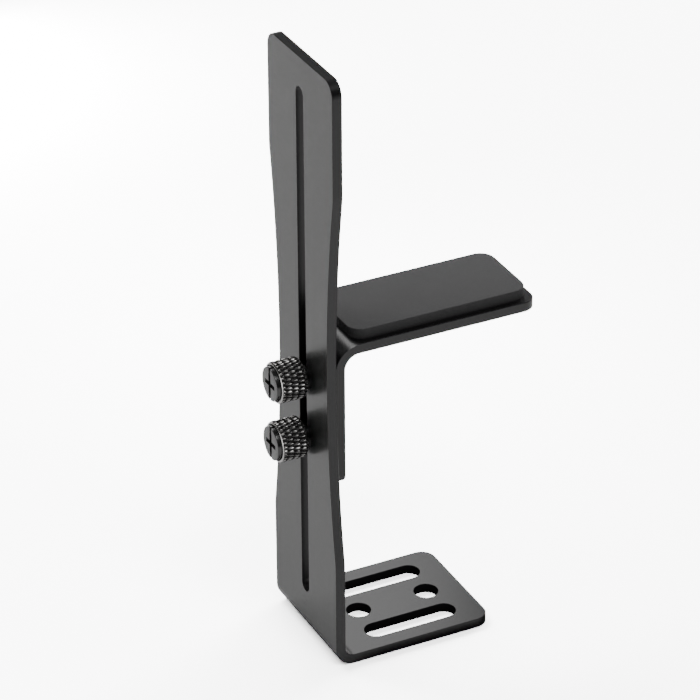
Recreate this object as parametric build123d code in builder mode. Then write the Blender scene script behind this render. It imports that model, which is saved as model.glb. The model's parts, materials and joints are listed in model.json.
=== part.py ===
from build123d import *
import math
import os

# A support bracket for a graphics card, in millimetres. A folded upright stands on its own foot, and
# an arm with a soft pad slides up and down the back of it, clamped by two thumb screws.
# The origin is the middle of the two round foot holes, on the sole. +X runs out along the foot,
# +Z up the upright, and the thumb screws face -X.

# Upright: one folded sheet with a waisted plate and a foot
sheet = 2.0
upright_height = 125.0
plate_width = 27.0
plate_corner = 3.0
waist_depth = 3.15
waist_bottom = 23.3
waist_top = 101.7
waist_blend = 8.0
foot_length = 34.0
foot_bend = 2.0
edge_break = 0.1

# Guide slot in the plate
guide_width = 3.1
guide_bottom = 10.0
guide_top_margin = 6.0

# Holes in the foot: two round ones on the centre line, and a long slot on each side of them
hole_radius = 2.5
hole_spacing = 15.0
hole_inset = 7.5
foot_slot_width = 4.8
foot_slot_offset = 7.7

# Arm: a second folded sheet, with a leg behind the plate and a shelf
arm_sheet = 2.0
arm_width = 20.0
arm_height = 29.6
arm_reach = 43.0
arm_bend = 3.0
leg_corner = 2.0
shelf_corner = 3.0
screw_spacing = 13.0
lower_screw_margin = 6.5
lower_screw_height = 45.6

# Pad on the shelf
pad_length = 37.4
pad_width = 17.0
pad_thickness = 2.05
pad_corner = 3.0
pad_end_margin = 1.2

# Thumb screws
guide_clearance = 0.075
thread_clearance = 0.05
shank_length = 6.0
tip_chamfer = 0.35
collar_radius = 2.8
collar_length = 0.9
barrel_radius = 4.12
barrel_length = 5.25
front_chamfer = 0.34
front_chamfer_length = 0.25
back_chamfer = 0.2
disc_radius = 3.42
disc_height = 0.83
disc_round = 0.2
groove_width = 0.2
groove_depth = 0.4
slot_width = 0.9
slot_depth = 0.75
cross_width = 0.9
cross_span = 4.2
cross_depth = 1.9
cross_tip = 0.5

# Diamond knurl on the thumb screws
knurl_teeth = 28
knurl_depth = 0.34
knurl_angle = 19.0
upper_knurl_turn = 0.0
lower_knurl_turn = 5.0

# Places worked out from the sizes above
waist_side = plate_width / 2 - waist_depth
foot_end = hole_spacing / 2 + hole_inset
outer_face = foot_end - foot_length
inner_face = outer_face + sheet
leg_back = inner_face + arm_sheet
leg_bottom = lower_screw_height - lower_screw_margin
shelf_top = leg_bottom + arm_height
shelf_end = inner_face + arm_reach
upper_screw_height = lower_screw_height + screw_spacing
guide_top = upright_height - guide_top_margin
shank_radius = guide_width / 2 - guide_clearance
tapped_radius = shank_radius + thread_clearance
groove_radius = disc_radius + groove_width


# Edges where two faces meet at more than a slight angle, apart from those around a hole
def outline_edges(solid):
    faces_of = {}
    for face in solid.faces():
        for edge in face.outer_wire().edges():
            faces_of.setdefault(edge, []).append(face)
    chosen = ShapeList()
    for edge, faces in faces_of.items():
        if len(faces) == 2:
            middle = edge.position_at(0.5)
            bend = faces[0].normal_at(middle).get_angle(faces[1].normal_at(middle))
            if bend > 45:
                chosen.append(edge)
    return chosen


# Folded upright: the side view of the sheet, drawn out to the plate's width
with BuildPart() as upright:
    with BuildSketch(Plane.XZ):
        with BuildLine():
            Polyline(
                (outer_face, 0),
                (foot_end, 0),
                (foot_end, sheet),
                (inner_face, sheet),
                (inner_face, upright_height),
                (outer_face, upright_height),
                close=True,
            )
        make_face()
        heel = vertices().sort_by(Axis.X).group_by(Axis.Y)[0][0]
        fillet(heel, foot_bend + sheet)
        crook = vertices().filter_by(lambda v: abs(v.X - inner_face) < 0.01).sort_by(Axis.Y)[0]
        fillet(crook, foot_bend)
    extrude(amount=plate_width / 2, both=True)

    # The waist: one long arc cut into each side
    with BuildSketch(Plane.YZ.offset(outer_face)):
        for side in (-1, 1):
            with BuildLine():
                ThreePointArc(
                    (side * plate_width / 2, waist_bottom),
                    (side * waist_side, (waist_bottom + waist_top) / 2),
                    (side * plate_width / 2, waist_top),
                )
                Line((side * plate_width / 2, waist_top), (side * plate_width / 2, waist_bottom))
            make_face()
    extrude(amount=sheet, mode=Mode.SUBTRACT)
    waist_ends = edges().filter_by(Axis.X).filter_by(
        lambda e: min(abs(e.center().Z - waist_bottom), abs(e.center().Z - waist_top)) < 0.01
    )
    fillet(waist_ends, waist_blend)

    # Rounded corners at the top of the plate and at the end of the foot
    top_corners = edges().filter_by(Axis.X).group_by(Axis.Z)[-1]
    foot_corners = edges().filter_by(Axis.Z).group_by(Axis.X)[-1]
    fillet(top_corners + foot_corners, plate_corner)
    chamfer(outline_edges(upright.part), edge_break)

    # The guide slot that the screws slide in
    with BuildSketch(Plane.YZ.offset(outer_face)):
        with Locations((0, (guide_bottom + guide_top) / 2)):
            SlotOverall(guide_top - guide_bottom, guide_width, rotation=90)
    extrude(amount=sheet, mode=Mode.SUBTRACT)

    # Holes and slots in the foot
    with BuildSketch(Plane.XY):
        with GridLocations(hole_spacing, 0, 2, 1):
            Circle(hole_radius)
        with GridLocations(0, 2 * foot_slot_offset, 1, 2):
            SlotOverall(hole_spacing + foot_slot_width, foot_slot_width)
    extrude(amount=sheet, mode=Mode.SUBTRACT)

# Folded arm: the leg lies flat on the back of the plate, and the shelf runs out from its top
with BuildPart() as arm:
    with BuildSketch(Plane.XZ):
        with BuildLine():
            Polyline(
                (inner_face, leg_bottom),
                (leg_back, leg_bottom),
                (leg_back, shelf_top - arm_sheet),
                (shelf_end, shelf_top - arm_sheet),
                (shelf_end, shelf_top),
                (inner_face, shelf_top),
                close=True,
            )
        make_face()
        outer_bend = vertices().sort_by(Axis.X).group_by(Axis.Y)[-1].sort_by(Axis.X)[0]
        fillet(outer_bend, arm_bend + arm_sheet)
        inner_bend = vertices().filter_by(lambda v: abs(v.X - leg_back) < 0.01).sort_by(Axis.Y)[-1]
        fillet(inner_bend, arm_bend)
    extrude(amount=arm_width / 2, both=True)
    leg_corners = edges().filter_by(Axis.X).group_by(Axis.Z)[0]
    shelf_corners = edges().filter_by(Axis.Z).group_by(Axis.X)[-1]
    fillet(leg_corners, leg_corner)
    fillet(shelf_corners, shelf_corner)
    chamfer(outline_edges(arm.part), edge_break)

    # Tapped holes for the two screws
    with BuildSketch(Plane.YZ.offset(inner_face)):
        with Locations((0, lower_screw_height), (0, upper_screw_height)):
            Circle(tapped_radius)
    extrude(amount=arm_sheet, mode=Mode.SUBTRACT)

# Soft pad, stuck along the middle of the shelf
with BuildPart() as pad:
    with BuildSketch(Plane.XY.offset(shelf_top)):
        with Locations((shelf_end - pad_end_margin - pad_length / 2, 0)):
            RectangleRounded(pad_length, pad_width, pad_corner)
    extrude(amount=pad_thickness)

# Knurled sleeve of a thumb screw, with its back face on the YZ plane and its axis along -X. Two
# toothed bars, twisted opposite ways, leave the diamonds where they overlap.
with BuildPart() as knurled_sleeve:
    with BuildSketch(Plane.XZ):
        with BuildLine():
            Polyline(
                (0, disc_radius),
                (0, barrel_radius - back_chamfer),
                (-back_chamfer, barrel_radius),
                (front_chamfer_length - barrel_length, barrel_radius),
                (-barrel_length, barrel_radius - front_chamfer),
                (-barrel_length, groove_radius),
                (groove_depth - barrel_length, groove_radius),
                (groove_depth - barrel_length, disc_radius),
                close=True,
            )
        make_face()
    revolve(axis=Axis.X)
    tooth_points = []
    for tooth in range(2 * knurl_teeth):
        angle = math.pi * tooth / knurl_teeth
        radius = barrel_radius if tooth % 2 == 0 else barrel_radius - knurl_depth
        tooth_points.append((radius * math.cos(angle), radius * math.sin(angle)))
    with BuildSketch(Plane.YZ, mode=Mode.PRIVATE) as toothed_bar:
        with BuildLine():
            Polyline(*tooth_points, close=True)
        make_face()
    twist = math.degrees(barrel_length * math.tan(math.radians(knurl_angle)) / barrel_radius)
    for turn in (twist, -twist):
        twisted_bar = Solid.extrude_linear_with_rotation(
            toothed_bar.sketch.faces()[0], (0, 0, 0), (-barrel_length, 0, 0), turn
        )
        add(twisted_bar, mode=Mode.INTERSECT)


# One thumb screw: a turned core with shank, collar and raised disc, and the knurled sleeve around it
def thumb_screw(label, screw_height, knurl_turn):
    barrel_back = outer_face - collar_length
    disc_front = barrel_back - barrel_length - disc_height
    tip = outer_face + shank_length
    with BuildPart() as screw:
        with BuildSketch(Plane.XZ):
            with BuildLine():
                Polyline(
                    (tip, screw_height),
                    (tip, screw_height + shank_radius - tip_chamfer),
                    (tip - tip_chamfer, screw_height + shank_radius),
                    (outer_face, screw_height + shank_radius),
                    (outer_face, screw_height + collar_radius),
                    (barrel_back, screw_height + collar_radius),
                    (barrel_back, screw_height + disc_radius),
                    (disc_front, screw_height + disc_radius),
                    (disc_front, screw_height),
                    close=True,
                )
            make_face()
        revolve(axis=Axis((0, 0, screw_height), (1, 0, 0)))
        disc_rim = edges().filter_by(GeomType.CIRCLE).sort_by(Axis.X)[0]
        fillet(disc_rim, disc_round)

        # A slot right across the disc, and a cross recess that narrows as it goes in
        with BuildSketch(Plane.YZ.offset(disc_front)):
            with Locations((0, screw_height)):
                Rectangle(slot_width, 2 * disc_radius)
        extrude(amount=slot_depth, mode=Mode.SUBTRACT)
        for arm_turn in (0, 90):
            with BuildSketch(Plane.YZ.offset(disc_front)):
                with Locations((0, screw_height)):
                    Rectangle(cross_span, cross_width, rotation=arm_turn)
            with BuildSketch(Plane.YZ.offset(disc_front + cross_depth)):
                with Locations((0, screw_height)):
                    Rectangle(cross_span * cross_tip, cross_width * cross_tip, rotation=arm_turn)
            loft(mode=Mode.SUBTRACT)
        with Locations(Location((barrel_back, 0, screw_height), (knurl_turn, 0, 0))):
            add(knurled_sleeve.part)
    screw.part.label = label
    return screw.part


upper_thumb_screw = thumb_screw("upper_thumb_screw", upper_screw_height, upper_knurl_turn)
lower_thumb_screw = thumb_screw("lower_thumb_screw", lower_screw_height, lower_knurl_turn)
upright.part.label = "upright_bracket"
arm.part.label = "support_arm"
pad.part.label = "support_pad"

os.makedirs("parts", exist_ok=True)
export_step(upright.part, "parts/upright_bracket.step")
export_step(arm.part, "parts/support_arm.step")
export_step(pad.part, "parts/support_pad.step")
export_step(upper_thumb_screw, "parts/upper_thumb_screw.step")
export_step(lower_thumb_screw, "parts/lower_thumb_screw.step")
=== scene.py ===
import json
import math

import bmesh
import bpy
from mathutils import Matrix, Vector


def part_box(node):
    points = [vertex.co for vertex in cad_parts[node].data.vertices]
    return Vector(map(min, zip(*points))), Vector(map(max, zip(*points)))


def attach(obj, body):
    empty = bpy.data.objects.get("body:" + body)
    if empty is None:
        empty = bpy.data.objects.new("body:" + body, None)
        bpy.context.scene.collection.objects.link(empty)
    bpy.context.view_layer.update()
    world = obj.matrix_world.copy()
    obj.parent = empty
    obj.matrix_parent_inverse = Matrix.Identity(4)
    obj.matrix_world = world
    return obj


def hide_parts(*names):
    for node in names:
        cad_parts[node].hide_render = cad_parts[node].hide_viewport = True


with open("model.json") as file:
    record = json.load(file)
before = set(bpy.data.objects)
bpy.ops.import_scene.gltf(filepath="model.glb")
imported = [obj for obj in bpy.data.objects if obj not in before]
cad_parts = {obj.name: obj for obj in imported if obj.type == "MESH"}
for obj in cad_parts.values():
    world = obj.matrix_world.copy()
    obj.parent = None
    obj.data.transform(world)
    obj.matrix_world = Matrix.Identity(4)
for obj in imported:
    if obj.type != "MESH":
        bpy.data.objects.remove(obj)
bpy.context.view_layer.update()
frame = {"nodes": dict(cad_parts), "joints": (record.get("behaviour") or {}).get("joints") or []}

MM = 0.001

# Thumb screws, in millimetres. Depths run along +X from the plate's outer face, so those of the
# head are below zero.
PLATE_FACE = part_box("upright_bracket")[0].x / MM
COLLAR_LENGTH = 0.9
COLLAR_RADIUS = 2.8
BARREL_LENGTH = 5.25
BARREL_RADIUS = 4.12
FRONT_CHAMFER = 0.36
FRONT_CHAMFER_LENGTH = 0.225
BACK_CHAMFER = 0.2
DISC_HEIGHT = 0.83
DISC_RADIUS = 3.42
DISC_ROUND = 0.2
GROOVE_WIDTH = 0.2
GROOVE_DEPTH = 0.4
SLOT_WIDTH = 0.65
SLOT_LENGTH = 7.4
SLOT_DEPTH = 0.75
CROSS_WIDTH = 0.9
CROSS_SPAN = 4.2
CROSS_DEPTH = 1.9
CROSS_TIP = 0.5
CUTTER_OVERHANG = 0.3
SHANK_RADIUS = 1.475
SHANK_END = 6.0
TIP_CHAMFER = 0.35
TIP_CHAMFER_LENGTH = 0.4

# How much the small edges of the head are broken, and how far the middle of a rounded one stays in
EDGE_BREAK = 0.05
EDGE_MIDDLE = 0.015

# Depths and radii that follow from the sizes above
BARREL_BACK = -COLLAR_LENGTH
BARREL_FRONT = BARREL_BACK - BARREL_LENGTH
DISC_FRONT = BARREL_FRONT - DISC_HEIGHT
GROOVE_FLOOR = BARREL_FRONT + GROOVE_DEPTH
GROOVE_RADIUS = DISC_RADIUS + GROOVE_WIDTH
RIM_RADIUS = BARREL_RADIUS - FRONT_CHAMFER
BACK_RADIUS = BARREL_RADIUS - BACK_CHAMFER

# Diamond knurl. A higher power of crossing gives the diamonds sharper corners, and a higher one of
# rounding gives them flatter tops. The grooves start behind the rim and deepen over the run-out.
KNURL_TEETH = 28
KNURL_PITCH = 2.706
KNURL_DEPTH = 0.4
CROSSING_POWER = 4
ROUNDING_POWER = 1.6
RUN_OUT_START = 0.08
RUN_OUT_LENGTH = 0.25

# The knurl's phase on each screw, as in the photo: the depth and the turn, in degrees, of one crest
UPPER_CREST_DEPTH = -5.553
UPPER_CREST_TURN = 12.23
LOWER_CREST_DEPTH = -5.363
LOWER_CREST_TURN = 14.48

# Thread on the shank. The floor of its groove is flat over a share of each pitch.
THREAD_PITCH = 0.5
THREAD_DEPTH = 0.26
THREAD_FLOOR = 1 / 6

# How finely the meshes are drawn, and how far the knurl's rings stay from the barrel's ends
HEAD_COLUMNS = 16 * KNURL_TEETH
SHANK_COLUMNS = 2 * KNURL_TEETH
RINGS_PER_KNURL_PITCH = 32
RINGS_PER_THREAD_PITCH = 7
RING_GAP = 0.02
ROUND_STEPS = 6
CORNER_STEPS = 10

# Edges that bend more than these angles, in degrees, are hard. Those on the knurl, between the two
# depths and outside the radius, stay soft.
SCREW_SHARP_ANGLE = 38
PAD_SHARP_ANGLE = 50
SMOOTH_FRONT = BARREL_FRONT + 0.24
SMOOTH_BACK = BARREL_BACK - 0.1
SMOOTH_RADIUS = BARREL_RADIUS - KNURL_DEPTH - 0.02

# Rubbed metal on the rim and the crests: how bare it is, from 0 to 1, and how far it reaches
RIM_WEAR = 0.8
RIM_WEAR_BAND = 0.1
RIM_WEAR_FADE = 0.15
CREST_WEAR = 0.43
CREST_WEAR_REACH = 0.34
CREST_WEAR_RISE = 0.2
WEAR_INNER_RADIUS = GROOVE_RADIUS + 0.03
FULL_METAL_WEAR = 0.25
BARE_STEEL = (0.55, 0.54, 0.53)

# Pad, in millimetres. It fills the same box as its solid.
PAD_MIN, PAD_MAX = (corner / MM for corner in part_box("support_pad"))
PAD_CORNER = 3.0
PAD_SOFTNESS = 0.12

# Floor and sky. Reflections see a pale floor with a painted shade under the foot: a dark rounded
# rectangle, not cast by any lamp, whose edge fades between two shares of its half size. The camera
# sees one plain, brighter tone. The sky's strength is the one straight overhead.
FLOOR_SIZE = 8000.0
FLOOR_TONE = 0.9
# Tone of the painted shade under the foot, seen only in reflections
FLOOR_PAINTED_SHADE = 0.05
FLOOR_SEEN = 8.0
SHADE_MIDDLE = 3.0
SHADE_LENGTH = 44.0
SHADE_WIDTH = 30.4
SHADE_FADE_START = 0.9
SHADE_FADE_END = 1.2
SKY_STRENGTH = 0.2

# Softboxes: how far round from +Y towards +X and how far up they stand, in degrees, then their size
# and radiance. They all face one point from the same distance.
LIGHT_AIM = Vector((0, 0, 10))
LIGHT_DISTANCE = 1000.0
SOFTBOXES = (
    ("key_softbox", -30, 50, 350, 7.0),
    ("back_softbox", 5, 50, 350, 5.0),
    ("front_softbox", 180, 60, 350, 8.0),
    ("right_softbox", 60, 20, 480, 8.0),
)

# Cards of light near the bracket: centre, the point that they face, size and radiance
CARDS = (
    ("back_card", (-20, 300, 50), LIGHT_AIM, 80, 13.0),
    ("end_card", (40, 120, 100), LIGHT_AIM, 80, 2.4),
    ("left_card", (-166, 0, 45), LIGHT_AIM, 80, 2.0),
    ("floor_card", (40, -190, 38), (40, -190, 0), 180, 0.35),
)

# Camera, fitted to the photo, with lengths in millimetres and turns in degrees
CAMERA_PLACE = (-270.406, -528.876, 400.169)
CAMERA_HEADING = -26.296
CAMERA_DIP = 29.850
CAMERA_ROLL = -0.318
CAMERA_LENS = 184.76
CAMERA_SENSOR = 36.0
CAMERA_NEAR = 10.0


# Shader groups and materials
def new_group(name, inputs, outputs):
    """An empty shader group with named sockets, and the two nodes that carry them."""
    group = bpy.data.node_groups.new(name, "ShaderNodeTree")
    for label, value in inputs:
        socket = group.interface.new_socket(label, in_out="INPUT", socket_type="NodeSocketFloat")
        socket.default_value = value
    for label, kind in outputs:
        group.interface.new_socket(label, in_out="OUTPUT", socket_type=kind)
    return group, group.nodes.new("NodeGroupInput"), group.nodes.new("NodeGroupOutput")


def make_fine_grain():
    """Small even pits and a slow drift in tone, for coats, turned steel and foam."""
    group, source, result = new_group(
        "fine_grain",
        [("Grain Scale", 2000.0), ("Drift Scale", 60.0)],
        [("Grain", "NodeSocketFloat"), ("Drift", "NodeSocketFloat")],
    )
    place = group.nodes.new("ShaderNodeTexCoord")
    grain = group.nodes.new("ShaderNodeTexNoise")
    grain.inputs["Detail"].default_value = 3.0
    grain.inputs["Roughness"].default_value = 0.6
    drift = group.nodes.new("ShaderNodeTexNoise")
    drift.inputs["Detail"].default_value = 2.0
    for noise, scale in ((grain, "Grain Scale"), (drift, "Drift Scale")):
        group.links.new(place.outputs["Object"], noise.inputs["Vector"])
        group.links.new(source.outputs[scale], noise.inputs["Scale"])
    group.links.new(grain.outputs["Fac"], result.inputs["Grain"])
    group.links.new(drift.outputs["Fac"], result.inputs["Drift"])
    return group


fine_grain = make_fine_grain()


def grained_material(name, dark, light, rough, grain_scale, drift_scale, bump_strength, bump_height):
    """A material whose colour drifts between two shades and whose roughness follows its grain."""
    material = bpy.data.materials.new(name)
    material.use_nodes = True
    nodes, links = material.node_tree.nodes, material.node_tree.links
    shader = nodes["Principled BSDF"]
    grain = nodes.new("ShaderNodeGroup")
    grain.node_tree = fine_grain
    grain.inputs["Grain Scale"].default_value = grain_scale
    grain.inputs["Drift Scale"].default_value = drift_scale
    tone = nodes.new("ShaderNodeMix")
    tone.data_type = "RGBA"
    tone.inputs["A"].default_value = (*dark, 1.0)
    tone.inputs["B"].default_value = (*light, 1.0)
    links.new(grain.outputs["Drift"], tone.inputs["Factor"])
    links.new(tone.outputs["Result"], shader.inputs["Base Color"])
    spread = nodes.new("ShaderNodeMapRange")
    spread.inputs["To Min"].default_value = rough[0]
    spread.inputs["To Max"].default_value = rough[1]
    links.new(grain.outputs["Grain"], spread.inputs["Value"])
    links.new(spread.outputs["Result"], shader.inputs["Roughness"])
    bump = nodes.new("ShaderNodeBump")
    bump.inputs["Strength"].default_value = bump_strength
    bump.inputs["Distance"].default_value = bump_height * MM
    links.new(grain.outputs["Grain"], bump.inputs["Height"])
    links.new(bump.outputs["Normal"], shader.inputs["Normal"])
    return material, shader


def black_enamel():
    """Smooth black enamel, nearly a mirror, over folded steel."""
    material, shader = grained_material(
        "black_enamel",
        dark=(0.006, 0.006, 0.0065),
        light=(0.009, 0.009, 0.0095),
        rough=(0.26, 0.32),
        grain_scale=1600.0,
        drift_scale=40.0,
        bump_strength=0.08,
        bump_height=0.02,
    )
    shader.inputs["IOR"].default_value = 1.55
    return material


def foam_pad():
    """Dense black foam with a fine closed-cell skin."""
    material, shader = grained_material(
        "foam_pad",
        dark=(0.05, 0.05, 0.051),
        light=(0.062, 0.062, 0.063),
        rough=(0.7, 0.85),
        grain_scale=2600.0,
        drift_scale=90.0,
        bump_strength=0.35,
        bump_height=0.04,
    )
    shader.inputs["IOR"].default_value = 1.35
    return material


def blackened_steel():
    """Turned steel with a thin black finish, rubbed down to bare metal where the wear mark says so."""
    material, shader = grained_material(
        "blackened_steel",
        dark=(0.008, 0.008, 0.008),
        light=(0.012, 0.012, 0.012),
        rough=(0.16, 0.22),
        grain_scale=3000.0,
        drift_scale=150.0,
        bump_strength=0.04,
        bump_height=0.01,
    )
    shader.inputs["IOR"].default_value = 1.72
    nodes, links = material.node_tree.nodes, material.node_tree.links
    wear = nodes.new("ShaderNodeAttribute")
    wear.attribute_name = "wear"
    bare = nodes.new("ShaderNodeMix")
    bare.data_type = "RGBA"
    bare.inputs["B"].default_value = (*BARE_STEEL, 1.0)
    links.new(shader.inputs["Base Color"].links[0].from_socket, bare.inputs["A"])
    links.new(wear.outputs["Fac"], bare.inputs["Factor"])
    links.new(bare.outputs["Result"], shader.inputs["Base Color"])
    metal = nodes.new("ShaderNodeMath")
    metal.operation = "MULTIPLY"
    metal.use_clamp = True
    metal.inputs[1].default_value = 1 / FULL_METAL_WEAR
    links.new(wear.outputs["Fac"], metal.inputs[0])
    links.new(metal.outputs["Value"], shader.inputs["Metallic"])
    return material


def dress(piece, material):
    """Gives one of the bracket's solids its finish."""
    for slot in piece.material_slots:
        slot.link = "OBJECT"
        slot.material = material


# Helpers for the meshes
def clamped(value):
    """The value, kept from 0 to 1."""
    return min(1.0, max(0.0, value))


def off_middle(repeats):
    """How far a point of a repeating pattern is from the nearest middle: 1 is halfway between two."""
    return abs((repeats + 0.5) % 1.0 - 0.5) * 2


def quarter_round(radius):
    """Points of a rounded edge: how far each is behind the face it starts on, and how far along it."""
    points = []
    for step in range(ROUND_STEPS + 1):
        bend = math.radians(90 * step / ROUND_STEPS)
        points.append((radius - radius * math.cos(bend), radius * math.sin(bend)))
    return points


def join_rings(mesh, rings):
    """Faces between each ring of points and the next."""
    for ring, following in zip(rings, rings[1:]):
        count = len(ring)
        for column in range(count):
            after = (column + 1) % count
            mesh.faces.new((ring[column], ring[after], following[after], following[column]))


def close_ends(mesh, first, last):
    """A flat face on the first ring and one on the last."""
    mesh.faces.new(reversed(first))
    mesh.faces.new(last)


def piece_from(mesh, name):
    """The finished mesh as an object of the scene, with its faces turned outwards."""
    bmesh.ops.recalc_face_normals(mesh, faces=mesh.faces)
    data = bpy.data.meshes.new(name)
    mesh.to_mesh(data)
    mesh.free()
    piece = bpy.data.objects.new(name, data)
    bpy.context.scene.collection.objects.link(piece)
    return piece


def shade_smooth(piece, sharp_angle):
    """Smooth shading, but for the edges that bend more than the angle."""
    for face in piece.data.polygons:
        face.use_smooth = True
    piece.data.set_sharp_from_angle(angle=math.radians(sharp_angle))


def apply_modifiers(piece):
    """Gives a piece the mesh that its modifiers make of it."""
    bpy.context.view_layer.update()
    shape = bpy.data.meshes.new_from_object(
        piece.evaluated_get(bpy.context.evaluated_depsgraph_get())
    )
    piece.modifiers.clear()
    old = piece.data
    piece.data = shape
    bpy.data.meshes.remove(old)
    shape.name = piece.name


# Thumb screws
def screw_height(body):
    """The height of the axis that a screw turns about."""
    joint = next(joint for joint in frame["joints"] if joint["child"] == body)
    return joint["pos_m"][2] / MM


def knurl_radius(depth, angle, crest_depth, crest_turn):
    """Radius of the knurl: two sets of grooves that cross, with rounded diamonds between them."""
    along = (depth - crest_depth) / KNURL_PITCH
    around = (angle - crest_turn) * KNURL_TEETH / (2 * math.pi)
    left = off_middle(around - along)
    right = off_middle(around + along)
    low = min(1.0, (left ** CROSSING_POWER + right ** CROSSING_POWER) ** (1 / CROSSING_POWER))
    run_out = clamped((depth - BARREL_FRONT - RUN_OUT_START) / RUN_OUT_LENGTH)
    return BARREL_RADIUS - KNURL_DEPTH * low ** ROUNDING_POWER * run_out


def barrel_radius(depth, angle, crest_depth, crest_turn):
    """Radius of the knurled barrel, with a chamfer at each end. The one at the back is at 45 degrees."""
    front = RIM_RADIUS + (depth - BARREL_FRONT) * FRONT_CHAMFER / FRONT_CHAMFER_LENGTH
    back = BACK_RADIUS + BARREL_BACK - depth
    return min(knurl_radius(depth, angle, crest_depth, crest_turn), front, back)


def thread_radius(depth, angle):
    """Radius of the shank: a groove that climbs one pitch with each turn, and a chamfered tip."""
    share = off_middle(depth / THREAD_PITCH - angle / (2 * math.pi))
    flank = clamped((share - THREAD_FLOOR) / (1 - THREAD_FLOOR))
    tip = clamped((SHANK_END - depth) / TIP_CHAMFER_LENGTH)
    return min(SHANK_RADIUS - THREAD_DEPTH * (1 - flank), SHANK_RADIUS - TIP_CHAMFER * (1 - tip))


def head_profile(crest_depth):
    """Depth and radius of each ring, from the disc's face to the plate. On the knurl the radius is None."""
    profile = [
        (DISC_FRONT + back, DISC_RADIUS - DISC_ROUND + out) for back, out in quarter_round(DISC_ROUND)
    ]
    profile += [
        (GROOVE_FLOOR - EDGE_BREAK, DISC_RADIUS),
        (GROOVE_FLOOR, DISC_RADIUS + EDGE_BREAK),
        (GROOVE_FLOOR, GROOVE_RADIUS - EDGE_BREAK),
        (GROOVE_FLOOR - EDGE_BREAK, GROOVE_RADIUS),
        (BARREL_FRONT + EDGE_BREAK, GROOVE_RADIUS),
        (BARREL_FRONT + EDGE_MIDDLE, GROOVE_RADIUS + EDGE_MIDDLE),
        (BARREL_FRONT, GROOVE_RADIUS + EDGE_BREAK),
        (BARREL_FRONT, RIM_RADIUS),
    ]
    step = KNURL_PITCH / RINGS_PER_KNURL_PITCH
    first = math.ceil((BARREL_FRONT + RING_GAP - crest_depth) / step)
    last = math.floor((BARREL_BACK - RING_GAP - crest_depth) / step)
    profile += [(crest_depth + count * step, None) for count in range(first, last + 1)]
    profile += [
        (BARREL_BACK, BACK_RADIUS),
        (BARREL_BACK, COLLAR_RADIUS + EDGE_BREAK),
        (BARREL_BACK + EDGE_BREAK, COLLAR_RADIUS),
        (0.0, COLLAR_RADIUS),
    ]
    return profile


def ring_of(mesh, depth, height, columns, turn, radius_at):
    """A ring of points around a screw's axis. radius_at gives the radius at each angle."""
    points = []
    for column in range(columns):
        angle = turn + 2 * math.pi * column / columns
        radius = radius_at(angle)
        points.append(mesh.verts.new((
            (PLATE_FACE + depth) * MM,
            -radius * math.sin(angle) * MM,
            (height + radius * math.cos(angle)) * MM,
        )))
    return points


def head_rings(mesh, height, crest_depth, crest_turn):
    """The rings of the head, from the disc's face to the plate."""
    rings = []
    for depth, radius in head_profile(crest_depth):
        if radius is None:
            rings.append(ring_of(
                mesh, depth, height, HEAD_COLUMNS, crest_turn,
                lambda angle: barrel_radius(depth, angle, crest_depth, crest_turn),
            ))
        else:
            rings.append(ring_of(mesh, depth, height, HEAD_COLUMNS, crest_turn, lambda angle: radius))
    return rings


def shank_rings(mesh, height, turn):
    """The rings of the shank, from a plain one in the collar's flat face to the tip."""
    rings = [ring_of(mesh, 0.0, height, SHANK_COLUMNS, turn, lambda angle: SHANK_RADIUS)]
    steps = round(SHANK_END / THREAD_PITCH * RINGS_PER_THREAD_PITCH)
    for step in range(1, steps + 1):
        depth = SHANK_END * step / steps
        rings.append(
            ring_of(mesh, depth, height, SHANK_COLUMNS, turn, lambda angle: thread_radius(depth, angle))
        )
    return rings


def fill_collar(mesh, collar, shank):
    """The collar's flat face, from its own fine ring in to the shank's coarser one."""
    fine, coarse = len(collar), len(shank)
    ratio = fine // coarse
    for column in range(coarse):
        after = (column + 1) % coarse
        fan = [collar[(column * ratio + part) % fine] for part in range(ratio + 1)]
        mesh.faces.new(fan + [shank[after], shank[column]])


def tapered_bar(mesh, height, across, tall, depth, narrow):
    """A bar that stands out of the disc's face, goes into the head and narrows with depth."""
    ends = []
    for along, share in ((-CUTTER_OVERHANG, 1.0), (0.0, 1.0), (depth, narrow)):
        half_y = across / 2 * share
        half_z = tall / 2 * share
        ends.append([
            mesh.verts.new((
                (PLATE_FACE + DISC_FRONT + along) * MM, y * half_y * MM, (height + z * half_z) * MM
            ))
            for y, z in ((-1, -1), (1, -1), (1, 1), (-1, 1))
        ])
    join_rings(mesh, ends)
    close_ends(mesh, ends[0], ends[-1])


def cut_recess(screw, height):
    """The slot across the disc and the deeper cross at its middle."""
    for across, tall, depth, narrow in (
        (SLOT_WIDTH, SLOT_LENGTH, SLOT_DEPTH, 1.0),
        (CROSS_WIDTH, CROSS_SPAN, CROSS_DEPTH, CROSS_TIP),
        (CROSS_SPAN, CROSS_WIDTH, CROSS_DEPTH, CROSS_TIP),
    ):
        mesh = bmesh.new()
        tapered_bar(mesh, height, across, tall, depth, narrow)
        cutter = piece_from(mesh, "recess_cut")
        cut = screw.modifiers.new("recess", "BOOLEAN")
        cut.operation = "DIFFERENCE"
        cut.solver = "EXACT"
        cut.object = cutter
        apply_modifiers(screw)
        bpy.data.objects.remove(cutter)


def point_places(screw, height):
    """The depth and the radius of each of a screw's points."""
    places = []
    for vertex in screw.data.vertices:
        x, y, z = (value / MM for value in vertex.co)
        places.append((x - PLATE_FACE, math.hypot(y, z - height)))
    return places


def on_knurl(depth, radius):
    """Whether a point is on the knurl, away from both ends of the barrel."""
    return SMOOTH_FRONT < depth < SMOOTH_BACK and radius > SMOOTH_RADIUS


def soften_knurl(screw, places):
    """Keeps the knurl free of hard edges."""
    for edge in screw.data.edges:
        if all(on_knurl(*places[end]) for end in edge.vertices):
            edge.use_edge_sharp = False


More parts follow.
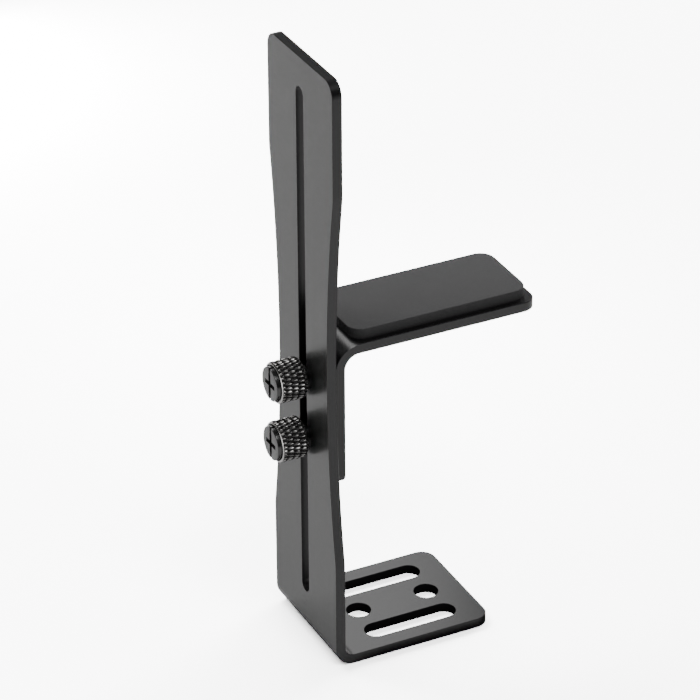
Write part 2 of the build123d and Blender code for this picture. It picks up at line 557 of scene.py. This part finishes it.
def bareness(depth, radius):
    """How bare a point is rubbed: most of all on the rim, and then on the knurl's crests."""
    if radius < WEAR_INNER_RADIUS:
        return 0.0
    crest = clamped((radius - BARREL_RADIUS + CREST_WEAR_REACH) / CREST_WEAR_RISE)
    rim = 1.0 - clamped((depth - BARREL_FRONT - RIM_WEAR_BAND) / RIM_WEAR_FADE)
    return max(CREST_WEAR * crest, RIM_WEAR * rim)


def mark_wear(screw, places):
    """Notes on each point how bare it is, for the material to read."""
    wear = screw.data.attributes.new("wear", "FLOAT", "POINT")
    for index, (depth, radius) in enumerate(places):
        wear.data[index].value = bareness(depth, radius)


def thumb_screw(name, height, crest_depth, crest_turn):
    """A thumb screw in one closed mesh, with its recess cut and its wear marked."""
    mesh = bmesh.new()
    head = head_rings(mesh, height, crest_depth, crest_turn)
    shank = shank_rings(mesh, height, crest_turn)
    join_rings(mesh, head)
    fill_collar(mesh, head[-1], shank[0])
    join_rings(mesh, shank)
    close_ends(mesh, head[0], shank[-1])
    screw = piece_from(mesh, name)
    cut_recess(screw, height)
    shade_smooth(screw, SCREW_SHARP_ANGLE)
    places = point_places(screw, height)
    soften_knurl(screw, places)
    mark_wear(screw, places)
    return screw


# Pad
def pad_outline(inset):
    """Points around the pad, drawn in by the given distance."""
    points = []
    corner = PAD_CORNER - inset
    for side_x, side_y, first in ((1, 1, 0), (-1, 1, 90), (-1, -1, 180), (1, -1, 270)):
        centre_x = PAD_MAX.x - PAD_CORNER if side_x > 0 else PAD_MIN.x + PAD_CORNER
        centre_y = PAD_MAX.y - PAD_CORNER if side_y > 0 else PAD_MIN.y + PAD_CORNER
        for step in range(CORNER_STEPS + 1):
            angle = math.radians(first + 90 * step / CORNER_STEPS)
            points.append((centre_x + corner * math.cos(angle), centre_y + corner * math.sin(angle)))
    return points


def soft_pad():
    """The pad: a flat slab whose upper edge is softened."""
    mesh = bmesh.new()
    edge_level = PAD_MAX.z - PAD_SOFTNESS
    profile = [(0.0, PAD_MIN.z)]
    profile += [(inset, edge_level + rise) for inset, rise in quarter_round(PAD_SOFTNESS)]
    rings = []
    for inset, level in profile:
        rings.append([mesh.verts.new((x * MM, y * MM, level * MM)) for x, y in pad_outline(inset)])
    join_rings(mesh, rings)
    close_ends(mesh, rings[0], rings[-1])
    pad = piece_from(mesh, "soft_pad")
    shade_smooth(pad, PAD_SHARP_ANGLE)
    return pad


# Floor, light and camera
def foot_shade(nodes, links):
    """The floor's tone in reflections: a painted shade, dark in a rounded rectangle under the foot, pale
    around it.
    """
    place = nodes.new("ShaderNodeTexCoord")
    offset = nodes.new("ShaderNodeVectorMath")
    offset.operation = "SUBTRACT"
    offset.inputs[1].default_value = (SHADE_MIDDLE * MM, 0, 0)
    share = nodes.new("ShaderNodeVectorMath")
    share.operation = "DIVIDE"
    share.inputs[1].default_value = (SHADE_LENGTH / 2 * MM, SHADE_WIDTH / 2 * MM, 1)
    squared = nodes.new("ShaderNodeVectorMath")
    squared.operation = "MULTIPLY"
    reach = nodes.new("ShaderNodeVectorMath")
    reach.operation = "LENGTH"
    tone = nodes.new("ShaderNodeMapRange")
    tone.interpolation_type = "SMOOTHSTEP"
    tone.inputs["From Min"].default_value = SHADE_FADE_START
    tone.inputs["From Max"].default_value = SHADE_FADE_END
    # The painted shade's tone under the foot
    tone.inputs["To Min"].default_value = FLOOR_PAINTED_SHADE
    tone.inputs["To Max"].default_value = FLOOR_TONE
    links.new(place.outputs["Object"], offset.inputs[0])
    links.new(offset.outputs["Vector"], share.inputs[0])
    links.new(share.outputs["Vector"], squared.inputs[0])
    links.new(share.outputs["Vector"], squared.inputs[1])
    links.new(squared.outputs["Vector"], reach.inputs[0])
    links.new(reach.outputs["Value"], tone.inputs["Value"])
    return tone.outputs["Result"]


def pale_floor():
    """A white studio floor. The camera sees it nearly burnt out, as on a light table."""
    bpy.ops.mesh.primitive_plane_add(size=FLOOR_SIZE * MM, location=(0, 0, 0))
    floor = bpy.context.object
    floor.name = "studio_floor"
    material = bpy.data.materials.new("pale_floor")
    material.use_nodes = True
    nodes, links = material.node_tree.nodes, material.node_tree.links
    nodes.remove(nodes["Principled BSDF"])
    lit = nodes.new("ShaderNodeBsdfDiffuse")
    # Reflections see the floor with the painted shade under the foot
    links.new(foot_shade(nodes, links), lit.inputs["Color"])
    burnt = nodes.new("ShaderNodeBsdfDiffuse")
    burnt.inputs["Color"].default_value = (FLOOR_SEEN, FLOOR_SEEN, FLOOR_SEEN, 1)
    path = nodes.new("ShaderNodeLightPath")
    mix = nodes.new("ShaderNodeMixShader")
    links.new(path.outputs["Is Camera Ray"], mix.inputs["Fac"])
    links.new(lit.outputs["BSDF"], mix.inputs[1])
    links.new(burnt.outputs["BSDF"], mix.inputs[2])
    links.new(mix.outputs["Shader"], nodes["Material Output"].inputs["Surface"])
    floor.data.materials.append(material)


def studio_sky():
    """A pale dome, bright overhead and dark at the horizon, so that edges keep their contrast."""
    world = bpy.data.worlds.new("studio")
    world.use_nodes = True
    nodes, links = world.node_tree.nodes, world.node_tree.links
    dome = nodes["Background"]
    dome.inputs["Color"].default_value = (1, 1, 1, 1)
    place = nodes.new("ShaderNodeTexCoord")
    part = nodes.new("ShaderNodeSeparateXYZ")
    rise = nodes.new("ShaderNodeMath")
    rise.operation = "MULTIPLY"
    rise.use_clamp = True
    rise.inputs[1].default_value = SKY_STRENGTH
    links.new(place.outputs["Generated"], part.inputs["Vector"])
    links.new(part.outputs["Z"], rise.inputs[0])
    links.new(rise.outputs["Value"], dome.inputs["Strength"])
    bpy.context.scene.world = world


def square_light(name, centre, aim, size, radiance):
    """A square light that glows evenly and faces a point. Places are in millimetres."""
    data = bpy.data.lights.new(name, "AREA")
    data.shape = "SQUARE"
    data.size = size * MM
    data.energy = radiance * math.pi * data.size ** 2
    light = bpy.data.objects.new(name, data)
    light.location = Vector(centre) * MM
    light.rotation_euler = (Vector(aim) - Vector(centre)).to_track_quat("-Z", "Y").to_euler()
    light.visible_camera = False
    bpy.context.scene.collection.objects.link(light)


def softbox_centre(azimuth, elevation):
    """Where a softbox stands, from its two angles in degrees."""
    round_by = math.radians(azimuth)
    up_by = math.radians(elevation)
    return LIGHT_AIM + LIGHT_DISTANCE * Vector((
        math.sin(round_by) * math.cos(up_by),
        math.cos(round_by) * math.cos(up_by),
        math.sin(up_by),
    ))


def studio_light():
    """Four large softboxes a metre away, and small cards close to the bracket."""
    for name, azimuth, elevation, size, radiance in SOFTBOXES:
        square_light(name, softbox_centre(azimuth, elevation), LIGHT_AIM, size, radiance)
    for name, centre, aim, size, radiance in CARDS:
        square_light(name, centre, aim, size, radiance)


def photo_camera():
    """The camera that matches the photo."""
    data = bpy.data.cameras.new("photo_camera")
    data.sensor_width = CAMERA_SENSOR
    data.lens = CAMERA_LENS
    data.clip_start = CAMERA_NEAR * MM
    camera = bpy.data.objects.new("photo_camera", data)
    bpy.context.scene.collection.objects.link(camera)
    camera.matrix_world = (
        Matrix.Translation([value * MM for value in CAMERA_PLACE])
        @ Matrix.Rotation(math.radians(CAMERA_HEADING), 4, "Z")
        @ Matrix.Rotation(math.radians(90 - CAMERA_DIP), 4, "X")
        @ Matrix.Rotation(math.radians(CAMERA_ROLL), 4, "Z")
    )
    bpy.context.scene.camera = camera


# The bracket's pieces
enamel = black_enamel()
foam = foam_pad()
blackened = blackened_steel()

dress(frame["nodes"]["upright_bracket"], enamel)
dress(frame["nodes"]["support_arm"], enamel)

for name, node, body, crest_depth, crest_turn in (
    ("upper_screw_knurled", "upper_thumb_screw", "upper_screw", UPPER_CREST_DEPTH, UPPER_CREST_TURN),
    ("lower_screw_knurled", "lower_thumb_screw", "lower_screw", LOWER_CREST_DEPTH, LOWER_CREST_TURN),
):
    screw = thumb_screw(name, screw_height(body), crest_depth, math.radians(crest_turn))
    screw.data.materials.append(blackened)
    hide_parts(node)
    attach(screw, body)

pad = soft_pad()
pad.data.materials.append(foam)
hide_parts("support_pad")
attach(pad, "arm")

# The studio around them
pale_floor()
studio_sky()
studio_light()
photo_camera()
